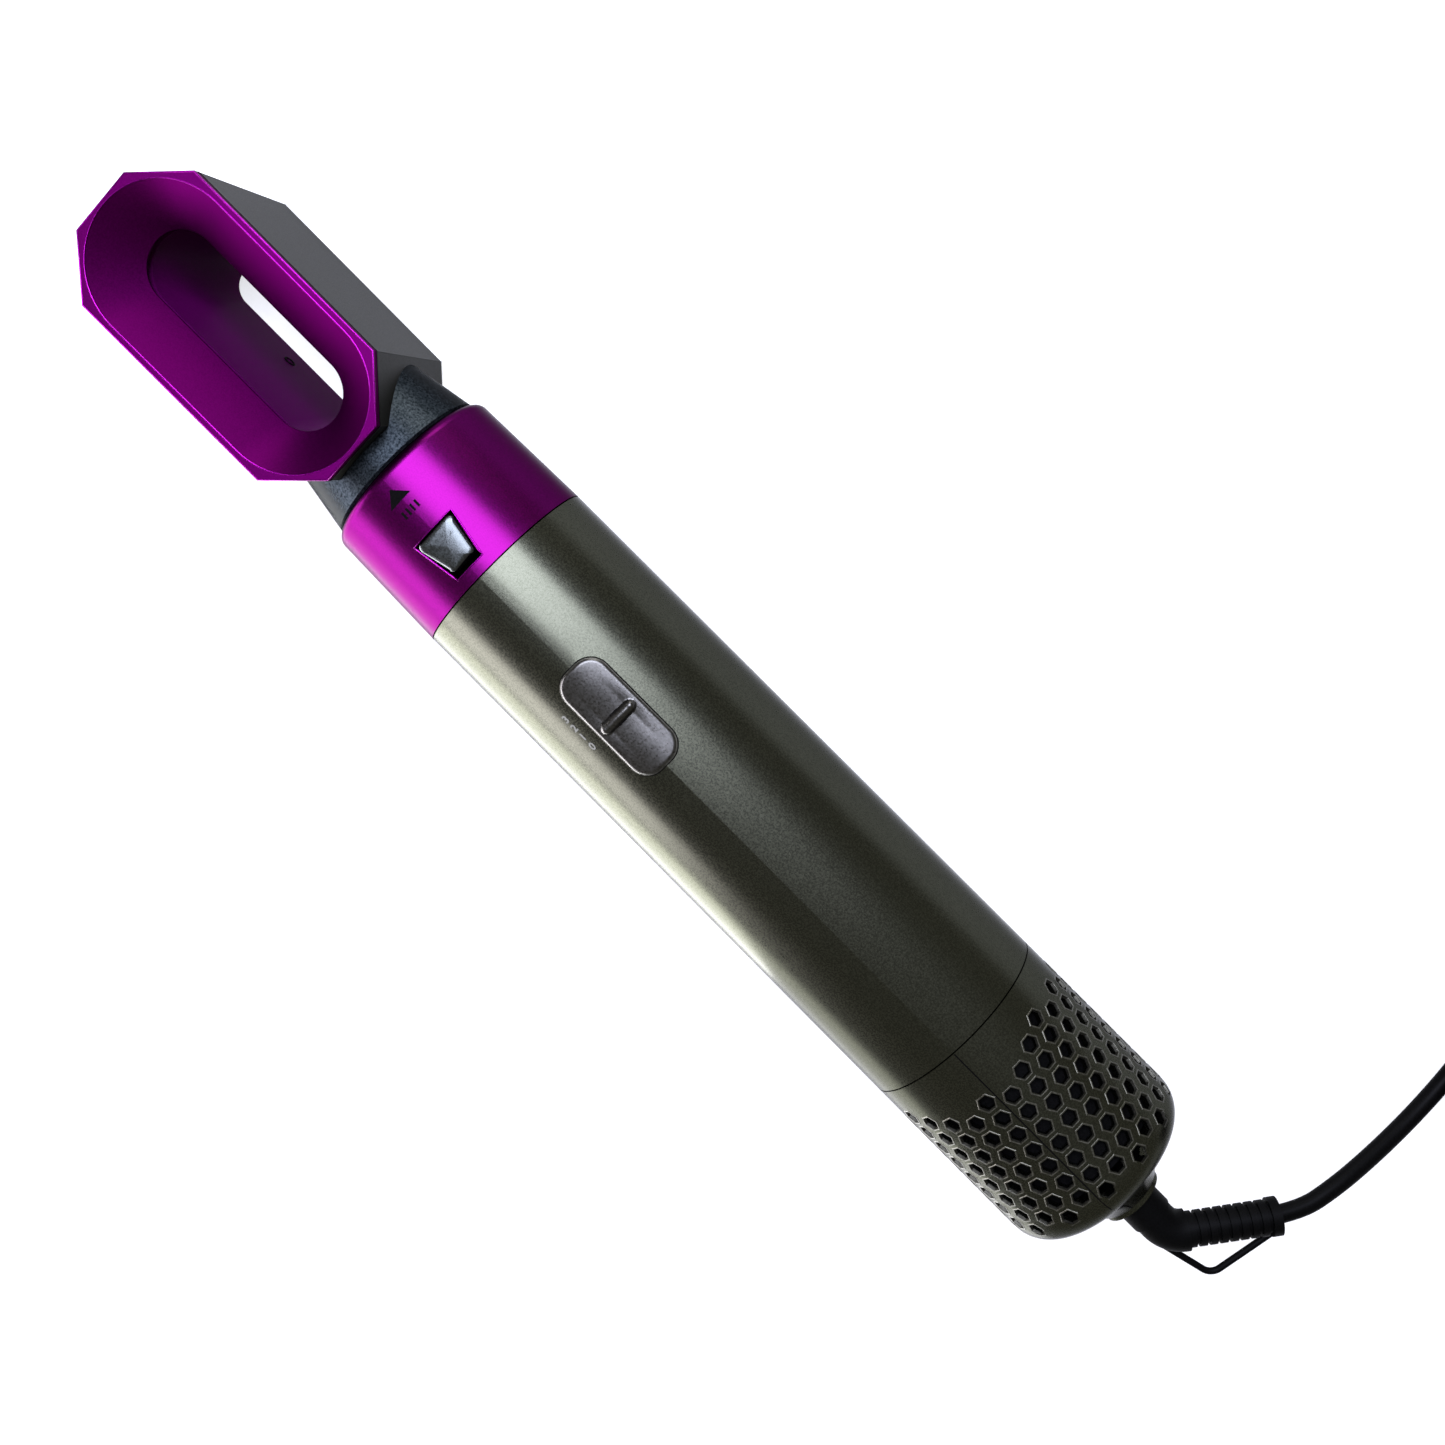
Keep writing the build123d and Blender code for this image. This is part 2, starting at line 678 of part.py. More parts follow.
with BuildPart() as contact_rings:
    for reach in (-174.6, -172.4):
        with BuildSketch(station(reach)):
            Circle(STEM_R + 0.7)
            Circle(STEM_R, mode=Mode.SUBTRACT)
        extrude(amount=1.0)
PIECES["contact_rings"] = contact_rings

# Elbow and ribbed boot: out along -X, round towards -Y, then straight
ELBOW = Vector(STEM_END_X - 5.4, 0, AXIS_Z)
BOOT_WAY = Vector(-11.2, -15.6, -2.2).normalized()
BOOT_START = ELBOW + BOOT_WAY * 3.7
BOOT_RIBS = 8
RIB_PITCH = 2.2
BOOT_LENGTH = BOOT_RIBS * RIB_PITCH + 2.0
BOOT_END = BOOT_START + BOOT_WAY * BOOT_LENGTH
BOOT_PLANE = Plane(origin=BOOT_START, x_dir=(0, 0, 1), z_dir=BOOT_WAY)

with BuildPart() as strain_relief:
    with BuildLine():
        bend = FilletPolyline((STEM_END_X, 0, AXIS_Z), ELBOW, BOOT_START, radius=6.5)
    with BuildSketch(Plane(origin=bend @ 0, x_dir=(0, 1, 0), z_dir=bend % 0)):
        Circle(4.4)
    sweep(path=bend)
    with BuildSketch(BOOT_PLANE):
        Circle(3.2)
    extrude(amount=BOOT_LENGTH)
    for rib in range(BOOT_RIBS):
        with BuildSketch(BOOT_PLANE.offset(RIB_PITCH * rib)):
            Circle(3.8)
        extrude(amount=1.4)
    with BuildSketch(BOOT_PLANE.offset(BOOT_LENGTH - 2.0)):
        Circle(4.1)
    extrude(amount=2.0)
    with BuildSketch(BOOT_PLANE.offset(BOOT_LENGTH)):
        Circle(CORD_R)
    extrude(amount=-6.0, mode=Mode.SUBTRACT)
PIECES["strain_relief"] = strain_relief

# Hanging loop beside the boot, fixed at the elbow and at the boot's far end
LOOP_POINTS = [
    Vector(STEM_END_X - 6.9, 3.2, 20.8),
    Vector(STEM_END_X - 19.3, 0.3, 20.2),
    BOOT_END - BOOT_WAY + Vector(-2.6, 1.9, 0),
]
with BuildPart() as hang_loop:
    with BuildLine():
        loop = FilletPolyline(*LOOP_POINTS, radius=3.0)
    with BuildSketch(Plane(origin=loop @ 0, z_dir=loop % 0)):
        Circle(0.75)
    sweep(path=loop)
PIECES["hang_loop"] = hang_loop


# ---- Cord: route, coil, tie and plug ---------------------------------------------------------------


def bend_radii(points):
    """One radius per corner: 0.45 of the shorter run over the tangent of half the turn."""
    radii = []
    for before, corner, after in zip(points, points[1:], points[2:]):
        first = corner - before
        second = after - corner
        half = math.radians(first.get_angle(second)) / 2
        radii.append(0.45 * min(first.length, second.length) / math.tan(half))
    return radii


def cord_length(path):
    return sum(edge.length for edge in path.edges())


PLUG_START = Vector(COIL_X + 10.0, COIL_Y - 13.6, 16.6)
PLUG_WAY = Vector(-1.0, 0, 0.069).normalized()
PLUG_TAPER = 14.0
PLUG_LENGTH = 34.0

CORD_START = BOOT_END - BOOT_WAY * 6.0
CORD_POINTS = [
    CORD_START,
    BOOT_END + BOOT_WAY * 4.0,
    Vector(-170.0, -31.6, 16.2),
    Vector(-172.2, -41.6, 11.4),
    Vector(-173.8, -52.8, 6.2),
    Vector(-173.4, -65.0, 2.9),
    Vector(-170.6, -78.0, CORD_R),
    Vector(COIL_X + 32.0, COIL_Y + 1.5, CORD_R),
]
END_POINTS = [
    Vector(COIL_X - 13.3, COIL_Y + 18.3, 10.0),
    Vector(COIL_X - 4.5, COIL_Y + 24.9, 11.8),
    Vector(COIL_X + 4.6, COIL_Y + 29.6, 14.0),
    Vector(COIL_X + 15.0, COIL_Y + 31.4, 14.6),
    Vector(COIL_X + 27.1, COIL_Y + 27.9, 14.6),
    Vector(COIL_X + 35.6, COIL_Y + 18.5, 13.4),
    Vector(COIL_X + 37.8, COIL_Y + 6.1, 13.2),
    Vector(COIL_X + 33.0, COIL_Y - 5.6, 14.4),
    Vector(COIL_X + 22.8, COIL_Y - 13.0, 15.8),
    PLUG_START,
]

for name, points in (("cord_tube", CORD_POINTS), ("cord_end", END_POINTS)):
    radii = bend_radii(points)
    print(name, "radii", [round(radius, 1) for radius in radii])
    with BuildPart() as tube:
        with BuildLine():
            route = FilletPolyline(*points, radius=radii)
        with BuildSketch(Plane(origin=route @ 0, z_dir=route % 0)):
            Circle(CORD_R)
        sweep(path=route)
    expected = math.pi * CORD_R ** 2 * cord_length(route)
    print(name, "length", round(cord_length(route), 1), "volume ratio", round(tube.part.volume / expected, 4))
    PIECES[name] = tube

with BuildPart() as cord_coil:
    with BuildSketch(Plane.XY):
        with Locations((COIL_X, COIL_Y)):
            Circle(COIL_OUT_R)
            Circle(COIL_IN_R, mode=Mode.SUBTRACT)
    extrude(amount=COIL_HEIGHT)
    fillet(cord_coil.edges(), 1.9)
PIECES["cord_coil"] = cord_coil

COIL_MID_R = (COIL_IN_R + COIL_OUT_R) / 2
TIE_PLANE = Plane(origin=(COIL_X - COIL_MID_R, COIL_Y, COIL_HEIGHT / 2), x_dir=(1, 0, 0), z_dir=(0, 1, 0))
with BuildPart() as cord_tie:
    with BuildSketch(TIE_PLANE):
        Rectangle(COIL_OUT_R - COIL_IN_R + 1.4, COIL_HEIGHT)
        Rectangle(COIL_OUT_R - COIL_IN_R + 0.2, COIL_HEIGHT - 0.8, mode=Mode.SUBTRACT)
    extrude(amount=3.0, both=True)
PIECES["cord_tie"] = cord_tie

def plug_plane(reach):
    """Plane across the plug, this far from its tail: local x runs from pin to pin."""
    return Plane(origin=PLUG_START + PLUG_WAY * reach, x_dir=(0, 1, 0), z_dir=PLUG_WAY)


with BuildPart() as plug_body:
    with BuildSketch(plug_plane(0)):
        Circle(3.4)
    with BuildSketch(plug_plane(PLUG_TAPER)):
        Circle(4.2)
    loft()
    with BuildSketch(plug_plane(PLUG_TAPER)):
        RectangleRounded(17.0, 11.0, 4.5)
    with BuildSketch(plug_plane(PLUG_LENGTH)):
        RectangleRounded(35.3, 13.7, 6.0)
    loft()
PIECES["plug_body"] = plug_body

with BuildPart() as plug_pins:
    with BuildSketch(plug_plane(PLUG_LENGTH)):
        with GridLocations(18.6, 1, 2, 1):
            Circle(2.0)
    extrude(amount=19.0)
    chamfer(plug_pins.faces().filter_by(GeomType.PLANE).group_by(Axis.X)[0].edges(), 0.8)
PIECES["plug_pins"] = plug_pins

# ---- Write one file for each piece --------------------------------------------------------------------

os.makedirs("parts", exist_ok=True)
for label, piece in PIECES.items():
    piece.part.label = label
    export_step(piece.part, f"parts/{label}.step")
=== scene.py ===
import math

import bmesh
import bpy
from mathutils import Matrix, Vector


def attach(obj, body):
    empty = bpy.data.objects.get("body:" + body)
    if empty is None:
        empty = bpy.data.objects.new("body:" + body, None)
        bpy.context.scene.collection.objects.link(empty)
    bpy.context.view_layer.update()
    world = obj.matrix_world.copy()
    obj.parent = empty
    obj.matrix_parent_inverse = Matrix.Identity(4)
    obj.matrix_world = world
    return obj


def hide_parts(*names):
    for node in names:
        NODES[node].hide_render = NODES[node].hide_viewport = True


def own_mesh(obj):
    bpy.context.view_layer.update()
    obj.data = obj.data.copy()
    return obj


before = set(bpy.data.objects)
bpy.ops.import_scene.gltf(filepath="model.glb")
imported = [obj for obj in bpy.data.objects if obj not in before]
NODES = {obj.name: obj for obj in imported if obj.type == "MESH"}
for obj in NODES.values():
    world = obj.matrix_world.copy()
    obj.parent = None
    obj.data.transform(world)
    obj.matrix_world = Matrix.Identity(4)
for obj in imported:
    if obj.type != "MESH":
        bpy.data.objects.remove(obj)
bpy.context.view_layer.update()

# ---- Camera --------------------------------------------------------------------------------------

CAMERA_AT = (0.00654, -0.07670, 0.33672)
CAMERA_TURN = (-10.361, 6.736, -135.197)
CAMERA_LENS = 38.73

lens = bpy.data.cameras.new("view")
lens.sensor_width = 36.0
lens.lens = CAMERA_LENS
lens.clip_start = 0.01
camera = bpy.data.objects.new("view", lens)
camera.location = CAMERA_AT
camera.rotation_euler = [math.radians(turn) for turn in CAMERA_TURN]
bpy.context.scene.collection.objects.link(camera)
bpy.context.scene.camera = camera

# ---- Mains lead ----------------------------------------------------------------------------------

LEAD_R = 0.002
COIL_AT = Vector((-0.200, -0.093, 0.0))
TURN_STEPS = 20
LEAD_OUT = [
    (-0.16192, -0.01396, 0.02003),
    (-0.16772, -0.02203, 0.01889),
    (-0.17000, -0.03160, 0.01620),
    (-0.17220, -0.04160, 0.01140),
    (-0.17380, -0.05280, 0.00620),
    (-0.17340, -0.06500, 0.00290),
    (-0.17060, -0.07800, 0.00200),
]
LEAD_IN = [
    (-0.21330, -0.07470, 0.01000),
    (-0.20450, -0.06810, 0.01180),
    (-0.19540, -0.06340, 0.01400),
    (-0.18500, -0.06160, 0.01460),
    (-0.17290, -0.06510, 0.01460),
    (-0.16440, -0.07450, 0.01340),
    (-0.16220, -0.08690, 0.01320),
    (-0.16700, -0.09860, 0.01440),
    (-0.17720, -0.10600, 0.01580),
    (-0.19000, -0.10660, 0.01660),
]
# Layers of the coil: (turns, radius at the start, radius at the end, height at the start and end)
COIL_LAYERS = [
    (4.0, 0.032, 0.0162, 0.002, 0.002),
    (0.2, 0.0162, 0.0162, 0.002, 0.006),
    (4.0, 0.0162, 0.032, 0.006, 0.006),
    (0.2, 0.032, 0.032, 0.006, 0.010),
    (2.25, 0.032, 0.0226, 0.010, 0.010),
]


def coil_turns():
    """Points round the coil, clockwise from +X as seen from above, layer by layer."""
    turned = 0.0
    points = []
    for turns, start_r, end_r, start_z, end_z in COIL_LAYERS:
        steps = max(2, round(turns * TURN_STEPS))
        for step in range(steps):
            part = step / steps
            angle = 2 * math.pi * (turned + turns * part)
            radius = start_r + (end_r - start_r) * part
            across = Vector((radius * math.cos(angle), -radius * math.sin(angle), 0))
            points.append(COIL_AT + across + Vector((0, 0, start_z + (end_z - start_z) * part)))
        turned += turns
    return points


lead_curve = bpy.data.curves.new("mains_lead", "CURVE")
lead_curve.dimensions = "3D"
lead_curve.bevel_depth = LEAD_R
lead_curve.bevel_resolution = 6
lead_curve.resolution_u = 8
lead_curve.use_fill_caps = True
lead_curve.materials.append(bpy.data.materials.new("lead_skin"))
lead_line = lead_curve.splines.new("NURBS")
lead_points = [Vector(point) for point in LEAD_OUT] + coil_turns() + [Vector(point) for point in LEAD_IN]
lead_line.points.add(len(lead_points) - 1)
for control, point in zip(lead_line.points, lead_points):
    control.co = (*point, 1.0)
lead_line.order_u = 3
lead_line.use_endpoint_u = True
lead = bpy.data.objects.new("mains_lead", lead_curve)
bpy.context.scene.collection.objects.link(lead)
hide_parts("cord_tube", "cord_coil", "cord_end")
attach(lead, "swivel")

# ---- Floor and lights ----------------------------------------------------------------------------


def flat_lamp(name, at, towards, size_x, size_y, radiance, tint=(1.0, 1.0, 1.0)):
    """Flat lamp, its first side along X, unseen by the camera, as bright as radiance asks at any size."""
    lamp = bpy.data.lights.new(name, "AREA")
    lamp.shape = "RECTANGLE"
    lamp.size = size_x
    lamp.size_y = size_y
    lamp.energy = radiance * math.pi * size_x * size_y
    lamp.color = tint
    holder = bpy.data.objects.new(name, lamp)
    holder.location = at
    aim = (Vector(towards) - Vector(at)).normalized()
    side = Vector((1, 0, 0)) - aim * aim.x
    side.normalize()
    up = aim.cross(side)
    holder.rotation_euler = Matrix((side, up * -1, aim * -1)).transposed().to_euler()
    holder.visible_camera = False
    bpy.context.scene.collection.objects.link(holder)


# Two sheets over each other on the floor, facing up, so that their reflection fades towards the tail:
# (name, tail end, height, radiance)
SHEET_HEAD_END = 0.22
SHEET_Y = 0.175
SHEET_WIDTH = 0.25
SHEETS = [("left_sheet", -0.06, 0.0006, 15.0), ("left_sheet_tail", -0.17, 0.0009, 7.0)]

flat_lamp("overhead", (0.24, -0.235, 0.73), (0.06, 0.0, 0.0), 0.36, 0.62, 31.0, (0.90, 0.95, 1.20))
flat_lamp("left_low", (0.26, 0.50, 0.125), (0.10, 0.0, 0.02), 0.68, 0.23, 19.0, (1.02, 0.97, 1.12))
for name, tail_end, height, radiance in SHEETS:
    at = Vector(((tail_end + SHEET_HEAD_END) / 2, SHEET_Y, height))
    flat_lamp(name, at, at + Vector((0, 0, 1)), SHEET_HEAD_END - tail_end, SHEET_WIDTH, radiance)
flat_lamp("head_side", (0.40, -0.46, 0.17), (0.12, 0.0, 0.04), 0.28, 0.26, 10.5)

world = bpy.data.worlds.new("studio")
world.use_nodes = True
backdrop = world.node_tree.nodes["Background"]
backdrop.inputs["Color"].default_value = (1.0, 0.97, 0.86, 1)
backdrop.inputs["Strength"].default_value = 0.5
bpy.context.scene.world = world
bpy.context.scene.view_settings.view_transform = "Standard"

FLOOR_HALF = 4.0
FLOOR_DROP = 0.0002
floor_mesh = bpy.data.meshes.new("floor")
floor_corners = [(FLOOR_HALF * x, FLOOR_HALF * y, 0) for x, y in ((-1, -1), (1, -1), (1, 1), (-1, 1))]
floor_mesh.from_pydata(floor_corners, [], [(0, 1, 2, 3)])
floor = bpy.data.objects.new("floor", floor_mesh)
floor.location.z = -FLOOR_DROP
bpy.context.scene.collection.objects.link(floor)

# ---- Materials -----------------------------------------------------------------------------------


BROAD = 0.12


def finish(name, dark, light, metallic, rough, grain, relief, coat=0.0, specular=0.5, edge=1.0):
    """Moulded or painted surface: fine grain in colour, roughness and relief, and slow variation.

    Grain is the noise's scale, relief the bump's height in metres, and edge tints the reflection at
    grazing angles.
    """
    material = bpy.data.materials.get(name) or bpy.data.materials.new(name)
    material.use_nodes = True
    nodes = material.node_tree.nodes
    links = material.node_tree.links
    shader = nodes["Principled BSDF"]
    shader.inputs["Metallic"].default_value = metallic
    shader.inputs["Coat Weight"].default_value = coat
    shader.inputs["Coat Roughness"].default_value = 0.3
    shader.inputs["Specular IOR Level"].default_value = specular
    shader.inputs["Specular Tint"].default_value = (edge, edge, edge, 1)
    place = nodes.new("ShaderNodeTexCoord")
    fine = nodes.new("ShaderNodeTexNoise")
    fine.inputs["Scale"].default_value = grain
    fine.inputs["Detail"].default_value = 3.0
    fine.inputs["Roughness"].default_value = 0.6
    links.new(place.outputs["Object"], fine.inputs["Vector"])
    slow = nodes.new("ShaderNodeTexNoise")
    slow.inputs["Scale"].default_value = 45.0
    slow.inputs["Detail"].default_value = 2.0
    links.new(place.outputs["Object"], slow.inputs["Vector"])
    blend = nodes.new("ShaderNodeMath")
    blend.operation = "MULTIPLY_ADD"
    blend.inputs[1].default_value = BROAD
    links.new(slow.outputs["Fac"], blend.inputs[0])
    links.new(fine.outputs["Fac"], blend.inputs[2])
    tone = nodes.new("ShaderNodeValToRGB")
    tone.color_ramp.elements[0].position = 0.36 + BROAD / 2
    tone.color_ramp.elements[0].color = (*dark, 1)
    tone.color_ramp.elements[1].position = 0.64 + BROAD / 2
    tone.color_ramp.elements[1].color = (*light, 1)
    links.new(blend.outputs[0], tone.inputs["Fac"])
    links.new(tone.outputs["Color"], shader.inputs["Base Color"])
    dull = nodes.new("ShaderNodeMapRange")
    dull.inputs["From Min"].default_value = 0.3
    dull.inputs["From Max"].default_value = 0.7
    dull.inputs["To Min"].default_value = rough - 0.04
    dull.inputs["To Max"].default_value = rough + 0.05
    links.new(fine.outputs["Fac"], dull.inputs["Value"])
    links.new(dull.outputs["Result"], shader.inputs["Roughness"])
    bump = nodes.new("ShaderNodeBump")
    bump.inputs["Strength"].default_value = 1.0
    bump.inputs["Distance"].default_value = relief
    links.new(fine.outputs["Fac"], bump.inputs["Height"])
    links.new(bump.outputs["Normal"], shader.inputs["Normal"])
    return material


# Painted and moulded parts. The lamps are bright, so the colours are dark
MAGENTA_TONES = ((0.035, 0.0003, 0.028), (0.047, 0.0005, 0.037))
RUBBER_TONES = ((0.0005, 0.0005, 0.0005), (0.001, 0.001, 0.001))
FINE = 0.000004
COARSE = 0.00001

MAGENTA = finish("magenta_coat", *MAGENTA_TONES, 1.0, 0.32, 3000, FINE, coat=0.02, edge=0.45)
SATIN = finish("magenta_satin", *MAGENTA_TONES, 1.0, 0.5, 3000, FINE, edge=0.45)
SLEEVE = finish(
    "sleeve_plastic", (0.032, 0.0002, 0.027), (0.042, 0.0004, 0.036), 0.0, 0.5, 2500, FINE, specular=0.01
)
OLIVE = finish(
    "olive_coat", (0.018, 0.019, 0.012), (0.030, 0.031, 0.021), 1.0, 0.27, 2600, FINE, coat=0.16, edge=0.45
)
SHELL = finish(
    "shell_plastic", (0.0040, 0.0040, 0.0032), (0.0060, 0.0060, 0.0048), 0.1, 0.5, 3500, COARSE,
    specular=0.035,
)
NECK = finish(
    "neck_coat", (0.003, 0.0045, 0.0055), (0.019, 0.023, 0.026), 0.85, 0.38, 2300, 0.00002,
    specular=0.1, edge=0.2,
)
BUTTON = finish("button_coat", (0.032, 0.035, 0.035), (0.046, 0.050, 0.050), 1.0, 0.28, 2600, FINE)
PLATE = finish(
    "slider_coat", (0.0338, 0.0325, 0.0299), (0.0494, 0.0481, 0.0455), 1.0, 0.30, 2200, 0.000007
)
# Lighter copy of the olive paint: a painted highlight on the hole rims and the slider plate's edge
RIM = finish("rim_painted_highlight", (0.030, 0.029, 0.022), (0.055, 0.053, 0.042), 0.9, 0.4, 1800, COARSE)
RUBBER = finish("rubber", *RUBBER_TONES, 0.0, 0.5, 4000, COARSE, specular=0.02)
# Lighter copy of the magenta: a painted highlight along the bezel's edges and the lip of the button's
# recess
EDGE = finish("magenta_painted_highlight", (0.085, 0.0012, 0.078), (0.12, 0.002, 0.11), 1.0, 0.30, 3000, 0.000003)
# Near black: the printed marks, the dark joint lines, and painted shade round the sleeve's dimple
MARK = finish(
    "dark_marks_and_painted_shade", (0.0006, 0.0006, 0.0006), (0.0014, 0.0012, 0.0014), 0.0, 0.6, 3000, FINE, specular=0.01
)
# Pale grey on the speed numbers: a painted highlight standing in for the light on their raised edges
NUMBER = finish(
    "number_painted_highlight", (0.085, 0.085, 0.075), (0.11, 0.11, 0.097), 0.0, 0.6, 3000, FINE, specular=0.01
)

# The lead already carries this material, by its name
finish("lead_skin", *RUBBER_TONES, 0.0, 0.45, 2500, FINE, specular=0.02)

# Inner parts and bare metals
NYLON_DARK = finish(
    "nylon_dark", (0.0006, 0.0006, 0.0006), (0.0014, 0.0014, 0.0014), 0.0, 0.6, 2500, COARSE, specular=0.015
)
NYLON_PALE = finish("nylon_pale", (0.30, 0.29, 0.27), (0.36, 0.35, 0.32), 0.0, 0.45, 2000, COARSE)
STEEL = finish("steel_sheet", (0.22, 0.22, 0.23), (0.3, 0.3, 0.3), 1.0, 0.33, 1500, 0.000006)
NICKEL = finish("nickel_plate", (0.30, 0.29, 0.27), (0.36, 0.35, 0.33), 1.0, 0.18, 1500, 0.000002)
BRASS = finish("brass_sheet", (0.26, 0.19, 0.08), (0.34, 0.26, 0.12), 1.0, 0.28, 1500, FINE)
MICA = finish("mica_sheet", (0.2, 0.17, 0.12), (0.3, 0.27, 0.21), 0.1, 0.4, 700, COARSE)
WIRE = finish("heater_wire", (0.06, 0.055, 0.06), (0.13, 0.12, 0.125), 1.0, 0.45, 1500, COARSE)
BOARD = finish("board_resin", (0.005, 0.04, 0.015), (0.01, 0.07, 0.025), 0.0, 0.35, 1500, 0.000006)
SEAL = finish("seal_silicone", (0.15, 0.015, 0.01), (0.21, 0.025, 0.015), 0.0, 0.45, 2000, 0.000006)
MAGNET = finish("ferrite", (0.015, 0.015, 0.016), (0.03, 0.03, 0.031), 0.2, 0.6, 2500, 0.00002)
FAN = finish("fan_nylon", (0.08, 0.085, 0.09), (0.11, 0.115, 0.12), 0.0, 0.5, 2500, COARSE)

# The floor glows a little, so that it stays white under the object's shadow
FLOOR = finish("floor_card", (0.28, 0.28, 0.28), (0.30, 0.30, 0.30), 0.0, 0.8, 900, 0.00002, specular=0.05)
floor_shader = FLOOR.node_tree.nodes["Principled BSDF"]
floor_shader.inputs["Emission Color"].default_value = (1, 1, 1, 1)
floor_shader.inputs["Emission Strength"].default_value = 0.6

COATS = {
    "head_shell": SHELL,
    "head_bezel": SATIN,
    "head_sleeve": SLEEVE,
    "head_screws": STEEL,
    "head_neck": NECK,
    "neck_seal": SEAL,
    "collar": MAGENTA,
    "receiver": NYLON_DARK,
    "release_button": BUTTON,
    "latch_ring": NYLON_DARK,
    "latch_spring": STEEL,
    "barrel": OLIVE,
    "slider_plate": PLATE,
    "slider_stem": NYLON_DARK,
    "switch_body": NYLON_DARK,
    "control_board": BOARD,
    "air_duct": MICA,
    "outlet_grille": NYLON_DARK,
    "heater_boards": MICA,
    "heater_coil": WIRE,
    "thermostat": STEEL,
    "thermal_fuse": STEEL,
    "motor_mount": NYLON_PALE,
    "motor_can": STEEL,
    "motor_magnets": MAGNET,
    "motor_endcap": NYLON_PALE,
    "motor_shaft": STEEL,
    "armature": WIRE,
    "impeller": FAN,
    "inlet_left": OLIVE,
    "inlet_right": OLIVE,
    "inlet_mesh": NYLON_DARK,
    "power_board": BOARD,
    "power_parts": NYLON_DARK,
    "swivel_bush": NYLON_DARK,
    "swivel_stem": RUBBER,
    "contact_rings": BRASS,
    "strain_relief": RUBBER,
    "hang_loop": RUBBER,
    "cord_tube": RUBBER,
    "cord_end": RUBBER,
    "cord_coil": RUBBER,
    "cord_tie": NYLON_DARK,
    "plug_body": RUBBER,
    "plug_pins": NICKEL,
}
for node, coat in COATS.items():
    for place in range(len(NODES[node].data.materials)):
        NODES[node].data.materials[place] = coat
floor_mesh.materials.append(FLOOR)

# ---- Where the casing's surface is ---------------------------------------------------------------

MM = 0.001
AXIS_Z = 22.0
SEAM_X = 46.1
COLLAR_LENGTH = 28.0
R_COLLAR = 20.2
R_SEAM = 21.0
R_INLET = 21.8
R_SHOULDER = 22.0
BARREL_LENGTH = 131.5
SHOULDER = 172.5
HEAD_X = 113.1
HEAD_LENGTH = 66.8
HEAD_WIDTH = 34.4
HEAD_CUT = 9.9
HEAD_TOP = 45.0
SLOT_HALF = 16.8
THROAT_R = 7.5
THROAT_Z = 36.6
MOUTH_R = 15.9
DOME_CURVE = 0.076


def casing_radius(reach):
    """Outside radius at a reach from the collar's rear seam, in millimetres like the rest here."""
    if reach >= 0:
        return R_SEAM + (R_COLLAR - R_SEAM) * reach / COLLAR_LENGTH
    if reach >= -BARREL_LENGTH:
        return R_SEAM + (R_INLET - R_SEAM) * -reach / BARREL_LENGTH
    if reach >= -SHOULDER:
        return R_INLET + (R_SHOULDER - R_INLET) * (-reach - BARREL_LENGTH) / (SHOULDER - BARREL_LENGTH)
    return R_SHOULDER - DOME_CURVE * (-reach - SHOULDER) ** 2


def on_casing(reach, round_by, lift=0.0):
    """Point on the casing, round_by along its skin from the top line towards +Y, in metres."""
    radius = casing_radius(reach)
    turn = round_by / radius
    out = radius + lift
    return Vector((SEAM_X + reach, out * math.sin(turn), AXIS_Z + out * math.cos(turn))) * MM


# ---- Helpers for detail pieces -------------------------------------------------------------------


def as_mesh(shape, name, face_out=True):
    """Mesh of a finished bmesh, its faces turned outwards."""
    if face_out:
        bmesh.ops.recalc_face_normals(shape, faces=shape.faces[:])
    mesh = bpy.data.meshes.new(name)
    shape.to_mesh(mesh)
    shape.free()
    return mesh


def add_piece(name, mesh, coat, body, smooth=True):
    """Links a mesh or curve as a piece that rides on a body."""
    mesh.materials.append(coat)
    piece = bpy.data.objects.new(name, mesh)
    bpy.context.scene.collection.objects.link(piece)
    if smooth and isinstance(mesh, bpy.types.Mesh):
        mesh.shade_smooth()
        mesh.set_sharp_from_angle(angle=math.radians(40))
    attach(piece, body)
    return piece


def beads(name, runs, radius, coat, body):
    """Thin rounded lines along lists of points, each with a flag that says whether it closes."""
    curve = bpy.data.curves.new(name, "CURVE")
    curve.dimensions = "3D"
    curve.bevel_depth = radius * MM
    curve.bevel_resolution = 3
    curve.use_fill_caps = True
    for points, closed in runs:
        line = curve.splines.new("POLY")
        line.points.add(len(points) - 1)
        for control, point in zip(line.points, points):
            control.co = (*point, 1.0)
        line.use_cyclic_u = closed
    return add_piece(name, curve, coat, body)


def plates(name, outlines, low, high, coat, body):
    """Thin inlaid plates that follow the casing: each outline is a list of (reach, round_by) corners."""
    shape = bmesh.new()
    for corners in outlines:
        shape.faces.new([shape.verts.new((x, s, high)) for x, s in corners])
    bmesh.ops.triangulate(shape, faces=shape.faces[:])
    bmesh.ops.subdivide_edges(shape, edges=shape.edges[:], cuts=5, use_grid_fill=True)
    walls = bmesh.ops.extrude_face_region(shape, geom=shape.faces[:])
    for vert in walls["geom"]:
        if isinstance(vert, bmesh.types.BMVert):
            vert.co.z = low
    for vert in shape.verts:
        vert.co = on_casing(vert.co.x, vert.co.y, vert.co.z)
    return add_piece(name, as_mesh(shape, name), coat, body, smooth=False)


def slot_loop(radius, height, steps=28):
    """Points round a slot of the head: half a turn about each end, joined by the straight sides."""
    points = []
    for end, start in ((1, -90), (-1, 90)):
        for step in range(steps + 1):
            turn = math.radians(start + 180 * step / steps)
            x = HEAD_X + end * SLOT_HALF + radius * math.cos(turn)
            points.append(Vector((x, radius * math.sin(turn), height)) * MM)
    return points


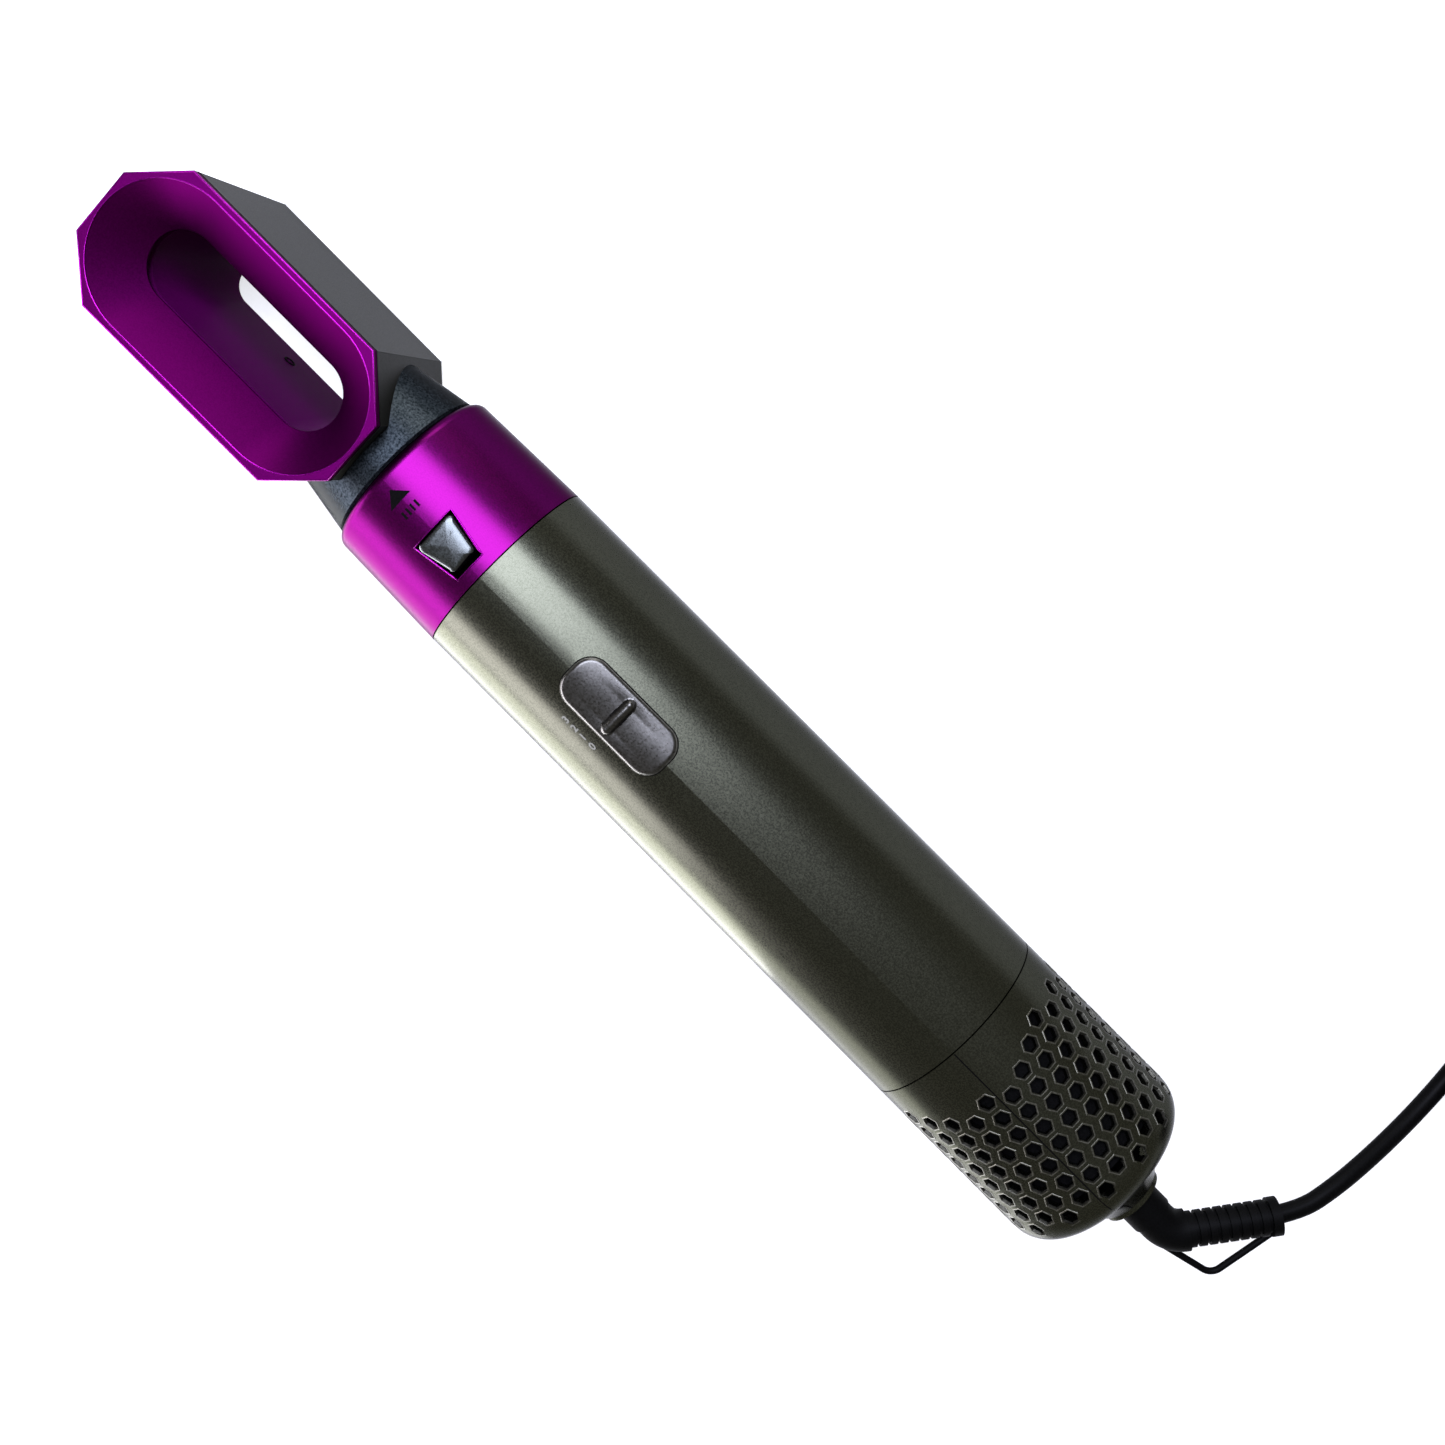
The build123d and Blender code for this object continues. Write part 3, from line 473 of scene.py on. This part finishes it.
def octagon(inset, height):
    """Points round the head's outline, each side moved in by inset."""
    long = HEAD_LENGTH / 2 - inset
    wide = HEAD_WIDTH / 2 - inset
    cut = HEAD_CUT - inset * (2 - math.sqrt(2))
    quarter = [(long, wide - cut), (long - cut, wide)]
    half = quarter + [(-x, y) for x, y in reversed(quarter)]
    corners = half + [(-x, -y) for x, y in half]
    return [Vector((HEAD_X + x, y, height)) * MM for x, y in corners]


# ---- Head ----------------------------------------------------------------------------------------

# Beads on the bezel's outer and mouth edges, in the lighter magenta: a painted highlight line
beads(
    "bezel_edges",
    [(octagon(0.14, HEAD_TOP - 0.12), True), (slot_loop(MOUTH_R - 0.02, HEAD_TOP - 0.16), True)],
    0.2,
    EDGE,
    "head",
)
beads("throat_edge", [(slot_loop(THROAT_R + 0.3, THROAT_Z - 0.28), True)], 0.36, MAGENTA, "head")
beads("shell_joint", [(octagon(-0.02, HEAD_TOP - 1.8), True)], 0.09, MARK, "head")
beads(
    "shell_edges",
    [
        ([Vector((x, y, 1.2 * MM)), Vector((x, y, (HEAD_TOP - 2.0) * MM))], False)
        for x, y, z in octagon(0.16, HEAD_TOP)
    ],
    0.2,
    SHELL,
    "head",
)

# Small moulding dimple on the sleeve's inside wall, drawn as a black ring: painted shade round it
DIMPLE = Vector((112.2, 5.3, 7.0))
DIMPLE_R = 1.1
DIMPLE_STEPS = 24
lean = Vector((0, 3.5, 33.0)).normalized()
ring = []
for step in range(DIMPLE_STEPS):
    turn = 2 * math.pi * step / DIMPLE_STEPS
    across = Vector((DIMPLE_R * math.cos(turn), 0, 0))
    ring.append((DIMPLE + across + lean * DIMPLE_R * math.sin(turn)) * MM)
beads("sleeve_dimple", [(ring, True)], 0.22, MARK, "head")

# ---- Collar: recess lip, arrow and marks ---------------------------------------------------------

BUTTON_START = 4.2
BUTTON_LENGTH = 8.5
BUTTON_WIDE = 9.7
BUTTON_NARROW = 6.2
RECESS_TAIL = 1.0


def recess_loop(grow, lift, steps=10):
    """Line on the collar round the button's recess."""
    tail = BUTTON_START - grow
    head = BUTTON_START + BUTTON_LENGTH + grow
    narrow = BUTTON_NARROW / 2 + grow
    wide = BUTTON_WIDE / 2 + grow
    corners = [(tail - RECESS_TAIL, -narrow), (head, -wide), (head, wide), (tail - RECESS_TAIL, narrow)]
    points = []
    for (x0, y0), (x1, y1) in zip(corners, corners[1:] + corners[:1]):
        for step in range(steps):
            x = x0 + (x1 - x0) * step / steps
            y = y0 + (y1 - y0) * step / steps
            skin = casing_radius(x) * math.asin(y / casing_radius(x))
            points.append(on_casing(x, skin, lift))
    return points


# Lip round the button's recess, in the lighter magenta: a painted highlight line
beads("recess_lip", [(recess_loop(0.52, -0.05), True)], 0.17, EDGE, "handle")
plates("arrow_mark", [[(24.2, 0.5), (21.2, -2.3), (21.2, 3.3)]], -0.1, 0.05, MARK, "handle")
STROKE_FROM = 17.9
STROKE_TO = 19.5
STROKE_WIDTH = 0.5
strokes = [
    [
        (STROKE_FROM, start),
        (STROKE_FROM, start + STROKE_WIDTH),
        (STROKE_TO, start + STROKE_WIDTH),
        (STROKE_TO, start),
    ]
    for start in (-1.8, -0.6, 0.6, 1.8)
]
plates("push_marks", strokes, -0.1, 0.03, MARK, "handle")

# Loops of the button, from its foot up over the rounded edge to the dished middle:
# (growth, height from the top, corner radius)
BUTTON_TOP = 43.4
BUTTON_CROWN = 48.0
BUTTON_MIDDLE = 4.4
BUTTON_LOOPS = [
    (0.0, -2.7, 0.9),
    (0.0, -0.75, 0.9),
    (-0.05, -0.4, 0.9),
    (-0.2, -0.15, 0.85),
    (-0.5, 0.0, 0.75),
    (-1.2, 0.03, 0.5),
    (-2.0, 0.04, 0.35),
    (-2.8, 0.04, 0.2),
]


def rounded(corners, radius, steps=6):
    """Outline with each corner of a convex polygon turned by an arc."""
    points = []
    for place, corner in enumerate(corners):
        here = Vector(corner)
        before = (Vector(corners[place - 1]) - here).normalized()
        after = (Vector(corners[(place + 1) % len(corners)]) - here).normalized()
        half = before.angle(after) / 2
        centre = here + (before + after).normalized() * radius / math.sin(half)
        start = here + before * radius / math.tan(half) - centre
        end = here + after * radius / math.tan(half) - centre
        for step in range(steps + 1):
            points.append(centre + start.slerp(end, step / steps) if step else centre + start)
    return points


def button_mesh():
    """Wedge-shaped cap, crowned across, closed by a fan of faces to its middle."""
    shape = bmesh.new()
    loops = []
    for grow, drop, radius in BUTTON_LOOPS:
        tail = SEAM_X + BUTTON_START - grow
        head = SEAM_X + BUTTON_START + BUTTON_LENGTH + grow
        narrow = BUTTON_NARROW / 2 + grow
        wide = BUTTON_WIDE / 2 + grow
        corners = [(tail, -narrow), (head, -wide), (head, wide), (tail, narrow)]
        spots = rounded(corners, radius)
        crown = [BUTTON_TOP + drop - y * y / BUTTON_CROWN for x, y in spots]
        loops.append([shape.verts.new(Vector((x, y, z)) * MM) for (x, y), z in zip(spots, crown)])
    for outer, inner in zip(loops, loops[1:]):
        for place in range(len(outer)):
            after = (place + 1) % len(outer)
            shape.faces.new((outer[place], outer[after], inner[after], inner[place]))
    last = loops[-1]
    middle = Vector((SEAM_X + BUTTON_START + BUTTON_MIDDLE, 0, BUTTON_TOP + BUTTON_LOOPS[-1][1]))
    top = shape.verts.new(middle * MM)
    for place in range(len(last)):
        shape.faces.new((last[place], last[(place + 1) % len(last)], top))
    return as_mesh(shape, "button_cap")


button = add_piece("button_cap", button_mesh(), BUTTON, "button")
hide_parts("release_button")

# ---- Speed slider --------------------------------------------------------------------------------

SLIDER_MID = -38.1
SLIDER_LENGTH = 26.6
SLIDER_WIDTH = 11.6
SLIDER_CORNER = 4.4
PLATE_LIFT = 0.62
EDGE_ROLL = 0.9
DISH_DEPTH = 0.42
DISH_LONG = 7.0
DISH_WIDE = 7.5
DISH_MARGIN = 0.8
DISH_EASE = 2.2
RIB_HALF = 3.1
RIB_R = 1.25
PLATE_TRIM = 0.25


def inside_plate(x, s):
    """Distance in from the plate's rounded outline, less than zero outside it."""
    across = abs(x) - (SLIDER_LENGTH / 2 - SLIDER_CORNER)
    along = abs(s) - (SLIDER_WIDTH / 2 - SLIDER_CORNER)
    outside = math.hypot(max(across, 0), max(along, 0)) + min(max(across, along), 0)
    return SLIDER_CORNER - outside


def plate_lift(x, s):
    """Height of the thumb plate over the barrel: rolled edge, dished middle and one raised rib."""
    depth = inside_plate(x, s)
    roll = min(max(depth / EDGE_ROLL, -0.3), 1.0)
    edge = PLATE_LIFT * (1 - (1 - roll) ** 2) if roll > 0 else PLATE_LIFT * 2 * roll
    inner = min(max((depth - DISH_MARGIN) / DISH_EASE, 0.0), 1.0)
    dish = DISH_DEPTH * inner * math.exp(-((x / DISH_LONG) ** 2)) * (1 - (s / DISH_WIDE) ** 2)
    reach = math.hypot(max(abs(s) - RIB_HALF, 0.0), x)
    rib = RIB_R * max(0.0, 1 - (reach / RIB_R) ** 2) ** 0.6
    return edge - dish + rib


def slider_mesh(step=0.22):
    """Thumb plate as a fine sheet that follows the barrel, trimmed just below its skin."""
    columns = round(SLIDER_LENGTH / step) + 4
    rows = round(SLIDER_WIDTH / step) + 4
    shape = bmesh.new()
    grid = {}
    for column in range(columns + 1):
        for row in range(rows + 1):
            x = (column - columns / 2) * step
            s = (row - rows / 2) * step
            if inside_plate(x, s) > -PLATE_TRIM:
                grid[column, row] = shape.verts.new(on_casing(SLIDER_MID + x, s, plate_lift(x, s)))
    for column in range(columns):
        for row in range(rows):
            ring = [(column, row), (column + 1, row), (column + 1, row + 1), (column, row + 1)]
            if all(spot in grid for spot in ring):
                shape.faces.new([grid[spot] for spot in reversed(ring)])
    return as_mesh(shape, "slider_cap")


slider = add_piece("slider_cap", slider_mesh(), PLATE, "slider")
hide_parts("slider_plate")


def plate_loop(grow, lift, steps=9):
    """Line on the barrel round the thumb plate."""
    points = []
    for across, along, start in ((1, 1, 0), (-1, 1, 90), (-1, -1, 180), (1, -1, 270)):
        for step in range(steps + 1):
            turn = math.radians(start + 90 * step / steps)
            x = across * (SLIDER_LENGTH / 2 - SLIDER_CORNER) + (SLIDER_CORNER + grow) * math.cos(turn)
            s = along * (SLIDER_WIDTH / 2 - SLIDER_CORNER) + (SLIDER_CORNER + grow) * math.sin(turn)
            points.append(on_casing(SLIDER_MID + x, s, lift))
    return points


beads("slider_gap", [(plate_loop(0.08, 0.0), True)], 0.07, MARK, "slider")
# Inner edge of the plate in the lighter olive: a painted highlight line
beads("slider_edge", [(plate_loop(-0.22, 0.26), True)], 0.10, RIM, "slider")

# Speed numbers: (sign, reach), in a line beside the plate
NUMBERS = [("3", -31.2), ("2", -33.6), ("1", -36.0), ("0", -38.6)]
NUMBERS_ROUND = 8.6
NUMBER_SIZE = 2.3
NUMBER_WEIGHT = 0.07
NUMBER_LIFT = 0.06


def numerals(name, signs, round_by, size, coat, body):
    """Small numbers laid on the casing, their tops towards the head."""
    scene = bpy.context.scene
    shape = bmesh.new()
    for sign, reach in signs:
        text = bpy.data.curves.new("numeral", "FONT")
        text.body = sign
        text.size = size
        text.offset = NUMBER_WEIGHT
        text.align_x = "CENTER"
        text.align_y = "CENTER"
        writer = bpy.data.objects.new("numeral", text)
        scene.collection.objects.link(writer)
        bpy.context.view_layer.update()
        written = writer.evaluated_get(bpy.context.evaluated_depsgraph_get())
        drawn = bpy.data.meshes.new_from_object(written)
        bpy.data.objects.remove(writer)
        bpy.data.curves.remove(text)
        spots = [
            shape.verts.new(on_casing(reach + vert.co.y, round_by - vert.co.x, NUMBER_LIFT))
            for vert in drawn.vertices
        ]
        for face in drawn.polygons:
            shape.faces.new([spots[corner] for corner in face.vertices])
        bpy.data.meshes.remove(drawn)
    return add_piece(name, as_mesh(shape, name, face_out=False), coat, body, smooth=False)


# The numbers are pale: painted highlight, not their own colour
numerals("speed_numbers", NUMBERS, NUMBERS_ROUND, NUMBER_SIZE, NUMBER, "handle")

# ---- Latch spring, a fixed bowed leaf; the real one flattens as the button goes down -------------

LEAF_START = 6.0
LEAF_LENGTH = 5.0
LEAF_STEPS = 8
# Top and underside of the leaf: (half width, crown from the axis, drop to its foot)
LEAF_ARCS = [(3.2, -17.6, 1.35), (2.9, -17.9, 1.2)]


def leaf_mesh(name):
    """Bowed strip under the latch ring, carried along X."""
    shape = bmesh.new()
    shares = [step / LEAF_STEPS for step in range(-LEAF_STEPS, LEAF_STEPS + 1)]
    arcs = []
    for reach in (LEAF_START, LEAF_START + LEAF_LENGTH):
        for half, crown, drop in LEAF_ARCS:
            spots = [(SEAM_X + reach, half * share, AXIS_Z + crown - drop * share**2) for share in shares]
            arcs.append([shape.verts.new(Vector(spot) * MM) for spot in spots])
    tail_top, tail_low, head_top, head_low = arcs
    sides = [(tail_top, head_top), (head_top, head_low), (head_low, tail_low), (tail_low, tail_top)]
    for one, other in sides:
        for step in range(2 * LEAF_STEPS):
            shape.faces.new((one[step], other[step], other[step + 1], one[step + 1]))
    for foot in (0, -1):
        shape.faces.new((tail_top[foot], head_top[foot], head_low[foot], tail_low[foot]))
    return as_mesh(shape, name)


leaf = add_piece("latch_leaf", leaf_mesh("latch_leaf"), STEEL, "handle")
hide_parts("latch_spring")
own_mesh(leaf)

# ---- Inlet: rims of the holes and the halves' joint ----------------------------------------------

HEX_ROWS = 28
HEX_PITCH = 4.45
HEX_ACROSS = 3.1
HEX_FIRST = 143.6
HEX_LAST = 172.6
HEX_NEAREST = 139.0
HEX_ARCH = 8.0
HEX_SLACK = 0.6
HEX_SPOTS = 12
# Loops of one rim, from the skin over a small crest and down into the hole: (growth, lift)
RIM_LOOPS = [(1.26, -0.02), (1.17, 0.07), (1.05, 0.05), (1.0, -0.12), (0.97, -0.6)]


def row_reaches(row):
    """Hole centres along one row: alternate rows half a pitch on, the front arched at the sides."""
    turn = 2 * math.pi * (row + 0.5) / HEX_ROWS
    first = max(HEX_FIRST - HEX_SLACK - HEX_ARCH * math.sin(turn) ** 2, HEX_NEAREST)
    start = HEX_FIRST + (HEX_PITCH / 2 if row % 2 else 0) - 2 * HEX_PITCH
    spots = [start + HEX_PITCH * step for step in range(HEX_SPOTS)]
    return [spot for spot in spots if first <= spot <= HEX_LAST]


def rim_mesh(rows, name):
    """Bevelled rims round the hexagonal holes of these rows."""
    shape = bmesh.new()
    corner_r = HEX_ACROSS / 2 / math.cos(math.pi / 6)
    for row in rows:
        centre = casing_radius(-HEX_FIRST) * 2 * math.pi * (row + 0.5) / HEX_ROWS
        for reach in row_reaches(row):
            loops = []
            for growth, lift in RIM_LOOPS:
                loop = []
                for corner in range(6):
                    turn = math.radians(30 + 60 * corner)
                    x = -reach + corner_r * growth * math.cos(turn)
                    skin = casing_radius(x)
                    s = centre * skin / casing_radius(-HEX_FIRST) + corner_r * growth * math.sin(turn)
                    loop.append(shape.verts.new(on_casing(x, s, lift)))
                loops.append(loop)
            for outer, inner in zip(loops, loops[1:]):
                for corner in range(6):
                    after = (corner + 1) % 6
                    shape.faces.new((outer[corner], outer[after], inner[after], inner[corner]))
    return as_mesh(shape, name)


# Rims in the lighter olive: painted highlight on the rims round the holes
add_piece("hole_rims", rim_mesh(range(HEX_ROWS), "hole_rims"), RIM, "handle", smooth=False)

# Joint of the halves: along the casing, then over the dome as (reach, height over the axis)
JOINT_ALONG = [131.8, 140, 150, 160, 172.5, 174.5, 176.3]
JOINT_OVER = [(177.9, 19.2), (179.0, 17.2), (182.0, 11.4), (185.2, 7.6)]
joint_line = [on_casing(-reach, 0.0) for reach in JOINT_ALONG]
joint_line += [Vector((SEAM_X - reach, 0, AXIS_Z + height)) * MM for reach, height in JOINT_OVER]
beads("inlet_joint", [(joint_line, False)], 0.14, MARK, "handle")
